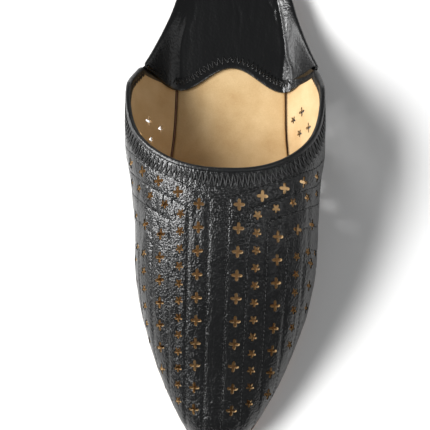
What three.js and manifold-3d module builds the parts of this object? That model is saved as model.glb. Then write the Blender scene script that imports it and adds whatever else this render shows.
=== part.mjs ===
// Babouche slipper for the left foot, with its back folded down flat on the insole.
// Units are millimetres. +Z is up, the toe points to -Y, and the outer side of the foot is +X.
// Stations are measured along the shoe from the heel end (0) to the toe tip (length).
import * as THREE from "three";
import { mergeVertices } from "three/addons/utils/BufferGeometryUtils.js";
import Module from "manifold-3d";

const wasm = await Module();
wasm.setup();

// ---------------------------------------------------------------- driving dimensions
const length = 282; // overall, heel end to toe tip
const soleThickness = 3.4;
const liftThickness = 3.2; // the heel's extra layer of sole leather
const liftFront = 64; // station where the heel lift stops
const liftInset = 0.8; // the lift is trimmed this far inside the sole's edge
const insoleThickness = 1.6;
const wall = 2.0; // upper leather and its lining together
const flapThickness = 2.0; // the folded back where it lies on the insole
const fit = 0.3; // clearance between neighbouring pieces
const lyingFit = 0.5; // clearance between the folded back's front and the vamp's wall

const marginInset = 0.2; // the upper's stitched margin starts this far inside the sole's edge
const marginThickness = 1.6;
const rootInset = 3.2; // where the wall rises from the margin, inside the sole's edge
const heelRound = 34; // length over which the heel end is rounded in plan
const toeRound = 16; // the same for the toe tip
const bluntEnd = 0.15; // solids stop this far short of a rounded end, and are flat there
const bluntHalf = 0.8; // half the width of that small flat
const bevel = 0.35; // a cut edge is rounded off a little, above and below
const foldRadius = 2.2; // the rounding along the top of the folded back

const throat = 140.5; // station of the collar's front, on the crown of the vamp
const joint = 77; // station where the vamp ends and the folded back begins
const rimPower = 2.0; // how quickly the collar runs back as it leaves the throat
const wallShare = 0.28; // share of a half section from the root up to its widest line
const rimShare = 0.8; // share of the half section left standing where the vamp ends

const notch = 68; // station of the dip in the middle of the folded back's front edge
const lobe = 82; // station of the two lobes on either side of it
const lobeHalf = 30; // the lobes' distance from the midline
const lobeTurn = 17; // width over which the front edge runs from a lobe back to the joint

// Sole: where the outline's middle lies across the shoe, its half width before the ends are
// rounded, and how far the underside is off the floor.
const soleTable = [
  { station: 0, middle: 1.8, half: 33.0, rise: 3.5 },
  { station: 45, middle: 1.5, half: 35.2, rise: 3.5 },
  { station: 70, middle: 1.4, half: 35.8, rise: 3.5 },
  { station: 100, middle: 1.6, half: 36.3, rise: 2.1 },
  { station: 130, middle: 1.9, half: 39.2, rise: 0 },
  { station: 160, middle: 1.9, half: 43.0, rise: 0 },
  { station: 185, middle: 1.6, half: 45.2, rise: 0 },
  { station: 205, middle: 1.4, half: 43.4, rise: 0 },
  { station: 225, middle: 1.1, half: 38.0, rise: 0.2 },
  { station: 243, middle: 0.8, half: 31.0, rise: 0.9 },
  { station: 258, middle: 0.5, half: 23.6, rise: 1.8 },
  { station: 270, middle: 0.2, half: 16.5, rise: 2.6 },
  { station: 282, middle: 0, half: 9.5, rise: 3.5 },
];

// Upper: how far the wall swells out past its root on the inner and the outer side of the foot,
// the height of that widest line, the height of the crown, and the squareness of the arch (2 is
// an ellipse).
const upperTable = [
  { station: 60, inner: 15.0, outer: 14.5, widest: 46, crown: 74, square: 2.4 },
  { station: 77, inner: 18.5, outer: 15.7, widest: 45, crown: 73.5, square: 2.4 },
  { station: 92, inner: 21.2, outer: 16.4, widest: 44, crown: 73, square: 2.4 },
  { station: 120, inner: 19.4, outer: 15.3, widest: 40, crown: 71.5, square: 2.4 },
  { station: 145, inner: 12.6, outer: 10.2, widest: 33, crown: 67.5, square: 2.4 },
  { station: 170, inner: 7.2, outer: 7.0, widest: 26, crown: 60, square: 2.4 },
  { station: 195, inner: 4.8, outer: 4.8, widest: 20.5, crown: 50, square: 2.4 },
  { station: 220, inner: 3.6, outer: 3.6, widest: 16, crown: 39, square: 2.3 },
  { station: 240, inner: 3.5, outer: 3.5, widest: 13.5, crown: 30.5, square: 2.2 },
  { station: 255, inner: 3.4, outer: 3.4, widest: 12, crown: 25, square: 2.1 },
  { station: 268, inner: 3.3, outer: 3.3, widest: 10.5, crown: 21, square: 2.0 },
  { station: 279, inner: 2.4, outer: 2.4, widest: 9.5, crown: 17.5, square: 2.0 },
];

// Folded back: the height of its fold line, how far the fold stands past the sole's edge, and
// how far in from the sole's edge the leather lies flat.
const foldTable = [
  { station: 0, ridge: 13.0, flare: -1.6, flat: 15 },
  { station: 30, ridge: 14.5, flare: -0.2, flat: 12.5 },
  { station: 50, ridge: 19.5, flare: 4.6, flat: 8.5 },
  { station: 66, ridge: 27.0, flare: 9.3, flat: 7.0 },
  { station: 77, ridge: 33.5, flare: 12.6, flat: 6.6 },
  { station: 90, ridge: 37.0, flare: 14.0, flat: 6.6 },
];

// ---------------------------------------------------------------- curves through the tables
// A smooth curve through one column that never overshoots its rows.
function column(table, key) {
  const x = table.map((row) => row.station);
  const y = table.map((row) => row[key]);
  const slope = x.slice(1).map((next, i) => (y[i + 1] - y[i]) / (next - x[i]));
  const tangent = y.map((_, i) => {
    if (i === 0) return slope[0];
    if (i === y.length - 1) return slope[i - 1];
    const product = slope[i - 1] * slope[i];
    return product <= 0 ? 0 : (2 * product) / (slope[i - 1] + slope[i]);
  });
  return (station) => {
    const s = THREE.MathUtils.clamp(station, x[0], x[x.length - 1]);
    let i = x.findIndex((next) => next > s) - 1;
    if (i < 0) i = x.length - 2;
    const h = x[i + 1] - x[i];
    const t = (s - x[i]) / h;
    const rise = (1 + 2 * t) * (1 - t) ** 2 * y[i] + t * t * (3 - 2 * t) * y[i + 1];
    return rise + h * t * (1 - t) * ((1 - t) * tangent[i] - t * tangent[i + 1]);
  };
}

const midline = column(soleTable, "middle");
const soleHalf = column(soleTable, "half");
const soleRise = column(soleTable, "rise");
const innerSwell = column(upperTable, "inner");
const outerSwell = column(upperTable, "outer");
const widest = column(upperTable, "widest");
const crown = column(upperTable, "crown");
const square = column(upperTable, "square");
const ridge = column(foldTable, "ridge");
const flare = column(foldTable, "flare");
const flat = column(foldTable, "flat");

const steepness = (curve, s) => Math.hypot(1, curve(s + 0.5) - curve(s - 0.5));
const soleTop = (s) => soleRise(s) + soleThickness;

// 1 along the shoe, falling to 0 as an ellipse over the last stretch before an end.
function roundedEnd(distance, stretch) {
  const t = THREE.MathUtils.clamp(1 - distance / stretch, 0, 1);
  return Math.sqrt(Math.max(0, 1 - t * t));
}

// Half width of the sole's outline, moved inwards by inset all round.
function outline(s, inset) {
  const ends =
    roundedEnd(s - inset, heelRound - inset) * roundedEnd(length - inset - s, toeRound);
  return Math.max(0, soleHalf(s) - inset * steepness(soleHalf, s)) * ends;
}

// Stations from one place to another, closer together towards an end that is rounded.
function stations(from, to, count, heelEnd, toeEnd) {
  return Array.from({ length: count + 1 }, (_, i) => {
    const t = i / count;
    const slow = heelEnd && toeEnd ? (1 - Math.cos(Math.PI * t)) / 2 : t;
    const eased = toeEnd && !heelEnd ? Math.sin((Math.PI / 2) * t) : slow;
    const start = heelEnd && !toeEnd ? 1 - Math.cos((Math.PI / 2) * t) : eased;
    return from + (to - from) * start;
  });
}

// ---------------------------------------------------------------- solids
const toSolid = (geometry) => {
  const bare = geometry.clone();
  bare.deleteAttribute("normal");
  bare.deleteAttribute("uv");
  const merged = mergeVertices(bare, 1e-4);
  const vertProperties = new Float32Array(merged.attributes.position.array);
  const triVerts = new Uint32Array(merged.index.array);
  return new wasm.Manifold(new wasm.Mesh({ numProp: 3, vertProperties, triVerts }));
};

const toGeometry = (solid) => {
  const mesh = solid.getMesh();
  const position = new THREE.BufferAttribute(new Float32Array(mesh.vertProperties), 3);
  const geometry = new THREE.BufferGeometry().setAttribute("position", position);
  geometry.setIndex(new THREE.BufferAttribute(new Uint32Array(mesh.triVerts), 1));
  geometry.computeVertexNormals();
  return geometry;
};

// A solid from numbered corners and triangles, turned face out where it is inside out.
function indexedSolid(position, index) {
  const geometry = new THREE.BufferGeometry();
  geometry.setAttribute("position", new THREE.Float32BufferAttribute(position, 3));
  geometry.setIndex(index);
  const solid = toSolid(geometry);
  if (solid.volume() > 0) return solid;
  for (let i = 0; i < index.length; i += 3)
    [index[i + 1], index[i + 2]] = [index[i + 2], index[i + 1]];
  geometry.setIndex(index);
  return toSolid(geometry);
}

// A solid through closed rings. Each ring is { station, points: [[across, height], ...] },
// anticlockwise as seen from the toe, and all rings have as many points.
function loft(rings) {
  const position = [];
  const index = [];
  const n = rings[0].points.length;
  for (const { station, points } of rings)
    for (const [across, height] of points)
      position.push(midline(station) + across, length / 2 - station, height);
  for (let k = 0; k < rings.length - 1; k++)
    for (let i = 0; i < n; i++) {
      const a = k * n + i;
      const b = k * n + ((i + 1) % n);
      index.push(a, a + n, b, b, a + n, b + n);
    }
  const cap = (k, flip) => {
    const contour = rings[k].points.map(([across, height]) => new THREE.Vector2(across, height));
    for (const [a, b, c] of THREE.ShapeUtils.triangulateShape(contour, []))
      index.push(k * n + a, k * n + (flip ? c : b), k * n + (flip ? b : c));
  };
  cap(0, false);
  cap(rings.length - 1, true);
  return indexedSolid(position, index);
}

// A plate that follows the sole: its outline is moved in by inset, and bottom and top are
// heights as functions of the station.
function plate(stationList, inset, bottom, top) {
  return loft(
    stationList.map((s) => {
      const half = Math.max(outline(s, inset), bluntHalf);
      const [low, high] = [bottom(s), top(s)];
      const inner = Math.max(half - bevel, 0.3);
      const right = [
        [inner, low],
        [half, low + bevel],
        [half, high - bevel],
        [inner, high],
      ];
      const left = right.map(([x, z]) => [-x, z]).reverse();
      return { station: s, points: [...right, ...left] };
    }),
  );
}

// ---------------------------------------------------------------- the upper's own function
// A point of the wall's cross section. share runs from -1 (the root at the inner side of the
// foot) through 0 (the crown) to 1 (the root at the outer side); inset is 0 on the outside of
// the leather and the wall's thickness on the inside.
function section(s, share, inset) {
  const root = outline(s, rootInset + inset);
  const floor = soleTop(s) + fit;
  const swell = share < 0 ? innerSwell(s) : outerSwell(s);
  const nose = roundedEnd(length - rootInset - inset - s, toeRound);
  const rawTop = crown(s) - inset * steepness(crown, s);
  const top = floor + (rawTop - floor) * nose;
  const line = floor + (widest(s) - floor) * nose;
  const t = Math.abs(share);
  if (t > 1 - wallShare) {
    const k = (1 - t) / wallShare;
    const across = root + swell * nose * Math.sin((k * Math.PI) / 2);
    return [Math.sign(share) * across, floor + (line - floor) * k ** 1.1];
  }
  const angle = (t / (1 - wallShare)) * (Math.PI / 2);
  const power = 2 / square(s);
  const reach = root + swell * nose;
  return [
    Math.sign(share) * reach * Math.sin(angle) ** power,
    line + (top - line) * Math.cos(angle) ** power,
  ];
}

const archSteps = 34; // facets across the arch
const arch = (s, inset) =>
  Array.from({ length: archSteps + 1 }, (_, i) => section(s, 1 - (2 * i) / archSteps, inset));

const rimStation = (share) =>
  throat - (throat - joint) * Math.min(1, Math.abs(share) / rimShare) ** rimPower;

// The standing wall of the vamp: an outside and an inside, both from the collar's line to the
// toe, closed along the collar and along the root.
function standingWall() {
  const rows = 30;
  const columns = archSteps;
  const position = [];
  const index = [];
  const at = (side, j, i) => (side * (rows + 1) + j) * (columns + 1) + i;
  const quad = (a, b, c, d) => index.push(a, b, c, a, c, d);
  for (const inset of [0, wall]) {
    const tip = length - rootInset - bluntEnd - inset;
    for (let j = 0; j <= rows; j++)
      for (let i = 0; i <= columns; i++) {
        const share = 1 - (2 * i) / columns;
        const start = rimStation(share) + fit / 2;
        const s = start + (tip - start) * Math.sin(((Math.PI / 2) * j) / rows);
        const [across, height] = section(s, share, inset);
        position.push(midline(s) + across, length / 2 - s, height);
      }
  }
  for (let i = 0; i < columns; i++) {
    for (let j = 0; j < rows; j++) {
      quad(at(0, j, i), at(0, j, i + 1), at(0, j + 1, i + 1), at(0, j + 1, i));
      quad(at(1, j, i), at(1, j + 1, i), at(1, j + 1, i + 1), at(1, j, i + 1));
    }
    quad(at(0, 0, i), at(1, 0, i), at(1, 0, i + 1), at(0, 0, i + 1));
    if (i > 0) {
      index.push(at(0, rows, 0), at(0, rows, i), at(0, rows, i + 1));
      index.push(at(1, rows, 0), at(1, rows, i + 1), at(1, rows, i));
    }
  }
  for (let j = 0; j < rows; j++) {
    quad(at(0, j, 0), at(0, j + 1, 0), at(1, j + 1, 0), at(1, j, 0));
    quad(at(0, j, columns), at(1, j, columns), at(1, j + 1, columns), at(0, j + 1, columns));
  }
  quad(at(0, rows, 0), at(0, rows, columns), at(1, rows, columns), at(1, rows, 0));
  return indexedSolid(position, index);
}

// The stitched margin that lies on the sole, between two stations.
function margin(from, to) {
  const list = stations(0, length, 72, true, true);
  const low = (s) => soleTop(s) + fit;
  const ends = (inset) => list.map((s) => inset + (s * (length - 2 * inset)) / length);
  const outer = plate(ends(marginInset), marginInset, low, (s) => low(s) + marginThickness);
  const innerInset = rootInset + wall / 2;
  const inner = plate(
    ends(innerInset),
    innerInset,
    (s) => low(s) - 5,
    (s) => low(s) + 5,
  );
  const ring = outer.subtract(inner);
  const box = new THREE.BoxGeometry(200, to - from, 60);
  box.translate(0, length / 2 - (from + to) / 2, 0);
  return ring.intersect(toSolid(box));
}

// The room inside the vamp's wall, moved in by inset from the outside of the leather.
function room(from, inset) {
  const tip = length - rootInset - bluntEnd - inset;
  return loft(
    stations(from, tip, 30, false, true).map((s) => {
      const points = arch(s, inset);
      const root = points[0][0];
      const below = soleTop(s) - 4;
      return { station: s, points: [[root, below], ...points, [-root, below]] };
    }),
  );
}

const vamp = () => standingWall().add(margin(joint + fit / 2, length + 1));

// One half of the folded back's section, from its root over the fold to the midline.
function foldHalf(s) {
  const floor = soleTop(s) + fit;
  const root = outline(s, rootInset);
  const top = ridge(s);
  const out = Math.max(outline(s, 0) + flare(s), root + 0.4);
  const lying = floor + insoleThickness + fit + flapThickness;
  // Near the heel end the whole section is still on the slope down from the fold.
  const reached = THREE.MathUtils.clamp((s + flare(0)) / (flat(s) + flare(0)), 0, 1);
  const centre = lying + (top - lying) * (1 - reached) ** 1.6;
  const crease = Math.max(outline(s, flat(s)), 1.2);
  const inner = Math.max(out - foldRadius, crease + 0.6);
  const slope = [0.3, 0.65, 1].map((q) => [
    inner + (crease - inner) * q,
    centre + (top - centre) * (1 - q) ** 1.6,
  ]);
  return [
    [root, floor],
    [root + (out - root) * 0.55, floor + (top - floor) * 0.42],
    [out, top - foldRadius],
    [out - foldRadius * 0.3, top - foldRadius * 0.3],
    [inner, top],
    ...slope,
    [crease * 0.5, centre],
  ];
}

function foldedBack() {
  const rear = rootInset + 0.3;
  const body = loft(
    stations(rear, lobe + 3, 22, true, false).map((s) => {
      const right = foldHalf(s);
      const left = right.map(([x, z]) => [-x, z]).reverse();
      const centre = [0, right[right.length - 1][1]];
      return { station: s, points: [...right, centre, ...left] };
    }),
  );
  // The insole's room, open to the front, and ahead of the joint the whole width of the sole.
  const low = (s) => soleTop(s) - 3;
  const high = (s) => soleTop(s) + fit + insoleThickness + fit;
  const hidden = rootInset + wall;
  const under = plate(stations(hidden, lobe + 8, 20, true, false), hidden, low, high);
  const ahead = plate(stations(joint - fit / 2, lobe + 8, 4, false, false), 0, low, high);
  const behind = new THREE.BoxGeometry(200, 100, 200);
  behind.translate(0, length / 2 - joint + fit / 2 + 50, 0);
  // In front of the joint the leather lies inside the vamp's walls.
  const allowed = toSolid(behind).add(room(joint - 4, wall + lyingFit));
  const lying = body.subtract(under).subtract(ahead).intersect(allowed).subtract(frontEdgeCutter());
  return lying.add(margin(-1, joint - fit / 2));
}

// Front edge in plan: the joint at the sides, a lobe towards each side and a notch between.
function frontEdge(across) {
  const t = Math.abs(across);
  if (t <= lobeHalf) return notch + ((lobe - notch) * (1 - Math.cos((Math.PI * t) / lobeHalf))) / 2;
  const turn = THREE.MathUtils.clamp((t - lobeHalf) / lobeTurn, 0, 1);
  const side = joint - fit / 2;
  return lobe + ((side - lobe) * (1 - Math.cos(Math.PI * turn))) / 2;
}

function frontEdgeCutter() {
  const steps = 48;
  const reach = 80;
  const shape = new THREE.Shape();
  const at = (across) => length / 2 - frontEdge(across);
  shape.moveTo(-reach, -length);
  shape.lineTo(reach, -length);
  for (let i = 0; i <= steps; i++) {
    const across = reach * (1 - (2 * i) / steps) ** 3 * 0.55 + reach * (1 - (2 * i) / steps) * 0.45;
    shape.lineTo(across, at(across));
  }
  shape.closePath();
  const geometry = new THREE.ExtrudeGeometry(shape, { depth: 100, bevelEnabled: false });
  geometry.translate(midline(joint), 0, -10);
  return toSolid(geometry);
}

// ---------------------------------------------------------------- the flat pieces
const outsole = () =>
  plate(stations(bluntEnd, length - bluntEnd, 64, true, true), 0, soleRise, soleTop);

const insole = () => {
  const inset = rootInset + wall + fit;
  const low = (s) => soleTop(s) + fit;
  const list = stations(inset + bluntEnd, length - inset - bluntEnd, 44, true, true);
  return plate(list, inset, low, (s) => low(s) + insoleThickness);
};

const heelLift = () => {
  const list = stations(liftInset + bluntEnd, liftFront, 20, true, false);
  return plate(
    list,
    liftInset,
    () => 0,
    () => liftThickness,
  );
};

// ---------------------------------------------------------------- the slipper
const leather = (color, roughness) =>
  new THREE.MeshStandardMaterial({ color, roughness, metalness: 0 });

const blackLeather = leather(0x17181a, 0.42);
const creamLeather = leather(0xd9b98a, 0.7);
const soleLeather = leather(0xa8694a, 0.65);

const pieces = [
  ["outsole", outsole(), soleLeather],
  ["heel_lift", heelLift(), soleLeather],
  ["insole", insole(), creamLeather],
  ["upper_vamp", vamp(), blackLeather],
  ["upper_folded_back", foldedBack(), blackLeather],
];

const slipper = new THREE.Group();
for (const [name, solid, material] of pieces) {
  const mesh = new THREE.Mesh(toGeometry(solid), material);
  mesh.name = name;
  slipper.add(mesh);
}

// The origin is the middle of the footprint, on the floor.
const bounds = new THREE.Box3().setFromObject(slipper);
const centre = bounds.getCenter(new THREE.Vector3());
slipper.position.set(-centre.x, -centre.y, -bounds.min.z);

export default slipper;
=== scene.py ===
"""Babouche slipper: glazed goatskin with punched holes, lined with undyed sheepskin, stitched down
onto a tanned sole. The sizes are in millimetres and turn into metres where points are placed."""

import math

import bpy
import numpy as np
from mathutils import Matrix, Vector, noise
from mathutils.geometry import delaunay_2d_cdt


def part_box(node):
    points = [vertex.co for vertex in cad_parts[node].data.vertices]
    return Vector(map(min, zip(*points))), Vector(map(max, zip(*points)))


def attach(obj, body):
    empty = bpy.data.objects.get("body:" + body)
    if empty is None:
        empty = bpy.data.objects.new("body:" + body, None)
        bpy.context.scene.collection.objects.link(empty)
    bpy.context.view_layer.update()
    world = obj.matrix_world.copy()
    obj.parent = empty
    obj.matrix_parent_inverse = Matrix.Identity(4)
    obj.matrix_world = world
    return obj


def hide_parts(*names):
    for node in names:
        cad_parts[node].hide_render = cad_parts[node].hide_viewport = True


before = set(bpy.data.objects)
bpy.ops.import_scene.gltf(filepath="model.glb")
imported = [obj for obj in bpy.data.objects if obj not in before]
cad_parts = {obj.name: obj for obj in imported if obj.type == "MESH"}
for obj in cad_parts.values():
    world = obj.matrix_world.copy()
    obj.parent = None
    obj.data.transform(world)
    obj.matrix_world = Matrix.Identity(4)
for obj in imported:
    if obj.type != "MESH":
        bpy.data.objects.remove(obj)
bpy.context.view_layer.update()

bl_info = {
    "name": "Babouche slipper",
    "version": (1, 0, 0),
    "blender": (4, 5, 0),
    "location": "3D View > Sidebar > Slipper",
    "description": "Builds the finished surfaces of a babouche slipper round its CAD frame",
    "category": "Add Mesh",
}

MM = 0.001
BODY = "root"


# ------ the last, as in the CAD model
def table(names, *rows):
    """A short table as named columns."""
    return dict(zip(names.split(), np.array(rows, float).T))


LENGTH = 282.0
SOLE_THICKNESS = 3.4
LIFT_FRONT = 64.0
LIFT_INSET = 0.8
INSOLE_THICKNESS = 1.6
WALL = 2.0
FLAP_THICKNESS = 2.0
FIT = 0.3
MARGIN_INSET = 0.2
MARGIN_THICKNESS = 1.6
ROOT_INSET = 3.2
HEEL_ROUND = 34.0
TOE_ROUND = 16.0
THROAT = 140.5
JOINT = 77.0
RIM_POWER = 2.0
WALL_SHARE = 0.28
RIM_SHARE = 0.8
NOTCH = 68.0
LOBE = 82.0
LOBE_HALF = 30.0
LOBE_TURN = 17.0
BLUNT_END = 0.15
TIP = LENGTH - ROOT_INSET - BLUNT_END

SOLE = table(
    "station middle half rise",
    (0, 1.8, 33.0, 3.5),
    (45, 1.5, 35.2, 3.5),
    (70, 1.4, 35.8, 3.5),
    (100, 1.6, 36.3, 2.1),
    (130, 1.9, 39.2, 0),
    (160, 1.9, 43.0, 0),
    (185, 1.6, 45.2, 0),
    (205, 1.4, 43.4, 0),
    (225, 1.1, 38.0, 0.2),
    (243, 0.8, 31.0, 0.9),
    (258, 0.5, 23.6, 1.8),
    (270, 0.2, 16.5, 2.6),
    (282, 0, 9.5, 3.5),
)
UPPER = table(
    "station inner outer widest crown square",
    (60, 15.0, 14.5, 46, 74, 2.4),
    (77, 18.5, 15.7, 45, 73.5, 2.4),
    (92, 21.2, 16.4, 44, 73, 2.4),
    (120, 19.4, 15.3, 40, 71.5, 2.4),
    (145, 12.6, 10.2, 33, 67.5, 2.4),
    (170, 7.2, 7.0, 26, 60, 2.4),
    (195, 4.8, 4.8, 20.5, 50, 2.4),
    (220, 3.6, 3.6, 16, 39, 2.3),
    (240, 3.5, 3.5, 13.5, 30.5, 2.2),
    (255, 3.4, 3.4, 12, 25, 2.1),
    (268, 3.3, 3.3, 10.5, 21, 2.0),
    (279, 2.4, 2.4, 9.5, 17.5, 2.0),
)
FOLD = table(
    "station ridge flare flat",
    (0, 13.0, -1.6, 15),
    (30, 14.5, -0.2, 12.5),
    (50, 19.5, 4.6, 8.5),
    (66, 27.0, 9.3, 7.0),
    (77, 33.5, 12.6, 6.6),
    (90, 37.0, 14.0, 6.6),
)

# ------ the pattern on the vamp
PATTERN_MIDDLE = -3.2  # the pattern's own middle, measured round the vamp from its crown
BEND_START = 50.0  # past this the diagonals turn down the sides, alongside the collar
BEND = table(
    "side slope bend",
    (-1, 0.53, 0.0085),
    (1, 0.40, 0.0149),
)

# Sewn lines: distance from the pattern's middle, and the station where each turns diagonal.
LINES = table(
    "across corner",
    (4.7, 155),
    (14.8, 160),
    (24.8, 165),
    (35.2, 170.5),
    (46.2, 177),
)
# Rows of punched holes between the lines: where the row runs, its first hole, how far apart and
# how many, the same for its diagonal, and the punch's points and radius.
HOLES = table(
    "across first pitch count diagonal_pitch diagonal_count points radius",
    (9.9, 157.5, 11.1, 10, 12.2, 11, 4, 2.85),
    (19.1, 162.0, 8.3, 12, 10.0, 13, 5, 2.25),
    (30.0, 171.5, 11.0, 8, 12.0, 8, 4, 2.85),
    (41.2, 180.0, 8.6, 6, 8.8, 8, 5, 2.25),
    (52.3, 182.0, 11.0, 3, 12.0, 3, 4, 2.75),
)
FIELD_HALF = 110.0  # half the width of the sheet that the vamp is cut from
DIAGONAL_REACH = 112.0  # how far out from the pattern's middle the diagonals are followed
HOLE_ROOT_GAP = 5.5  # no hole is punched nearer than this to the root, the zigzag or the toe
HOLE_RIM_GAP = 3.0
HOLE_TOE_GAP = 12.0
HOLES_START = {-1: 100.0, 1: 88.0}  # the first station with holes on the inner and outer side
# Creases of the vamp, as straight troughs (depth above 0) and ridges (below 0) from one place
# round and along the vamp to another.
CREASES = table(
    "across station across_end station_end depth width",
    (-30, 146, -33, 172, 0.55, 1.5),
    (-36, 150, -37, 186, 0.45, 1.6),
    (-26, 148, -25, 166, 0.4, 1.2),
    (-43, 150, -45, 182, -0.4, 2.2),
    (-15, 150, -13, 178, 0.22, 1.2),
    (-8, 170, -7, 214, 0.2, 1.0),
    (-33, 186, -30, 226, 0.35, 1.3),
    (-23, 176, -22, 240, 0.25, 1.0),
    (19, 146, 17, 168, 0.35, 1.3),
    (25, 143, 27, 176, 0.4, 1.4),
    (22, 144, 22, 160, -0.3, 1.6),
    (34, 142, 35, 168, 0.35, 1.3),
    (30, 180, 33, 220, 0.25, 1.2),
    (46, 150, 44, 200, 0.35, 1.6),
    (-14, 262, -3, 266, 0.3, 0.9),
    (-11, 267, 4, 269, 0.3, 0.8),
    (2, 262, 14, 259, 0.25, 0.8),
    (3, 256, 8, 270, 0.25, 0.8),
    (-20, 250, -9, 255, 0.2, 0.9),
)
# Creases of the folded back, in plan: across the shoe and along it.
BACK_CREASES = table(
    "across station across_end station_end depth width",
    (26.5, 30, 30.0, 82, 0.9, 1.1),
    (24.0, 14, 28.0, 50, 0.5, 1.0),
    (29.5, 36, 32.0, 78, 0.45, 0.9),
    (31.0, 52, 33.5, 80, 0.35, 0.8),
    (22.0, 20, 25.0, 44, 0.3, 0.9),
    (20.0, 26, 22.5, 40, 0.2, 0.8),
    (-27.0, 34, -30.0, 80, 0.6, 1.4),
    (-23.0, 24, -25.0, 52, 0.25, 1.2),
    (1.0, 24, 4.0, 50, 0.18, 1.0),
    (-2.0, 12, -1.0, 36, 0.14, 1.1),
    (9.0, 18, 10.0, 44, 0.12, 1.0),
)

ZIGZAG_START = 2.3  # the collar's zigzag: from the edge, how tall, and one whole zig and zag
ZIGZAG_HEIGHT = 6.4
ZIGZAG_PITCH = 2.5
SKIN = 0.5  # the dyed outer part of the wall; the rest is its undyed core and the lining
GROOVE_DEPTH, GROOVE_WIDTH = 0.3, 0.6  # a sewn line's groove, and the wider hollow round it
HOLLOW_DEPTH, HOLLOW_WIDTH = 0.05, 2.6
CALM_WIDTH = 7.0  # half the width of the smoother strip down the pattern's middle
LAMINA = 0.05  # the lining's skin starts this far below the dyed part


def curve(rows, name):
    """A smooth curve through one column of a table, which never overshoots its rows."""
    x, y = rows["station"], rows[name]
    slope = np.diff(y) / np.diff(x)
    product = slope[:-1] * slope[1:]
    mean = 2 * product / np.where(product > 0, slope[:-1] + slope[1:], 1)
    tangent = np.concatenate([slope[:1], np.where(product > 0, mean, 0), slope[-1:]])

    def at(station):
        s = np.clip(station, x[0], x[-1])
        i = np.clip(np.searchsorted(x, s, side="right") - 1, 0, len(x) - 2)
        h = x[i + 1] - x[i]
        t = (s - x[i]) / h
        line = (1 + 2 * t) * (1 - t) ** 2 * y[i] + t * t * (3 - 2 * t) * y[i + 1]
        return line + h * t * (1 - t) * ((1 - t) * tangent[i] - t * tangent[i + 1])

    return at


middle = curve(SOLE, "middle")
sole_half = curve(SOLE, "half")
sole_rise = curve(SOLE, "rise")
inner_swell = curve(UPPER, "inner")
outer_swell = curve(UPPER, "outer")
widest = curve(UPPER, "widest")
crown = curve(UPPER, "crown")
square = curve(UPPER, "square")
fold_ridge = curve(FOLD, "ridge")
fold_flare = curve(FOLD, "flare")
fold_flat = curve(FOLD, "flat")


def steepness(line, s):
    return np.hypot(1, line(s + 0.5) - line(s - 0.5))


def sole_top(s):
    return sole_rise(s) + SOLE_THICKNESS


def seat(s):
    """The height on which the upper and the insole lie."""
    return sole_top(s) + FIT


def rounded_end(distance, stretch):
    """1 along the shoe, falling to 0 as an ellipse over the last stretch before an end."""
    t = np.clip(1 - distance / stretch, 0, 1)
    return np.sqrt(1 - t * t)


def outline(s, inset):
    """Half width of the sole's outline, moved inwards by inset all round."""
    heel = rounded_end(s - inset, HEEL_ROUND - inset)
    toe = rounded_end(LENGTH - inset - s, TOE_ROUND)
    return np.maximum(0, sole_half(s) - inset * steepness(sole_half, s)) * heel * toe


def axis_x():
    """Where the last's straight axis lies across the frame: the sole's widest place tells it."""
    low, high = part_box("outsole")
    ball = SOLE["station"][np.argmax(SOLE["half"])]
    return (low[0] + high[0]) / 2 / MM - middle(ball)


AXIS_X = axis_x()


def place(s, across, height):
    """Points in metres from stations, distances across and heights."""
    s, across, height = np.broadcast_arrays(s, across, height)
    x = middle(s) + across + AXIS_X
    return np.stack([x, LENGTH / 2 - s, height], axis=-1) * MM


def section(s, share, inset):
    """The vamp's cross section: share runs from -1 at the inner root to 1 at the outer one."""
    root = outline(s, ROOT_INSET + inset)
    floor = seat(s)
    swell = np.where(share < 0, inner_swell(s), outer_swell(s))
    nose = rounded_end(LENGTH - ROOT_INSET - inset - s, TOE_ROUND)
    top = floor + (crown(s) - inset * steepness(crown, s) - floor) * nose
    line = floor + (widest(s) - floor) * nose
    t = np.abs(share)
    k = np.clip((1 - t) / WALL_SHARE, 0, 1)
    angle = np.clip(t / (1 - WALL_SHARE), 0, 1) * math.pi / 2
    power = 2 / square(s)
    reach = root + swell * nose
    low = t > 1 - WALL_SHARE
    across = np.where(low, root + swell * nose * np.sin(k * math.pi / 2), reach * np.sin(angle) ** power)
    arch = line + (top - line) * np.clip(np.cos(angle), 0, 1) ** power
    return np.sign(share) * across, np.where(low, floor + (line - floor) * k**1.1, arch)


def rim_station(share):
    t = np.minimum(1, np.abs(share) / RIM_SHARE)
    return THROAT - (THROAT - JOINT) * t**RIM_POWER + FIT / 2


# ------ the vamp laid out flat
# A place on the vamp is (round, station): round is the distance from the crown in the cross
# section, towards the outer side where it is above 0.
ROWS = np.linspace(JOINT - 1, TIP, 300)
SHARES = np.linspace(-1, 1, 801)
FRACTIONS = np.linspace(-1, 1, 801)


def _lay_out():
    across, height = section(ROWS[:, None], SHARES[None, :], 0)
    step = np.hypot(np.diff(across, axis=1), np.diff(height, axis=1))
    girth = np.concatenate([np.zeros((len(ROWS), 1)), np.cumsum(step, axis=1)], axis=1)
    girth -= girth[:, [len(SHARES) // 2]]
    shares = np.empty((len(ROWS), len(FRACTIONS)))
    for row, around in enumerate(girth):
        wanted = np.where(FRACTIONS < 0, -around[0], around[-1]) * FRACTIONS
        shares[row] = np.interp(wanted, around, SHARES)
    return girth, shares


GIRTH, SHARE_AT = _lay_out()


def half_girth(s, side):
    return np.interp(s, ROWS, np.abs(GIRTH[:, 0 if side < 0 else -1]))


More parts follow.
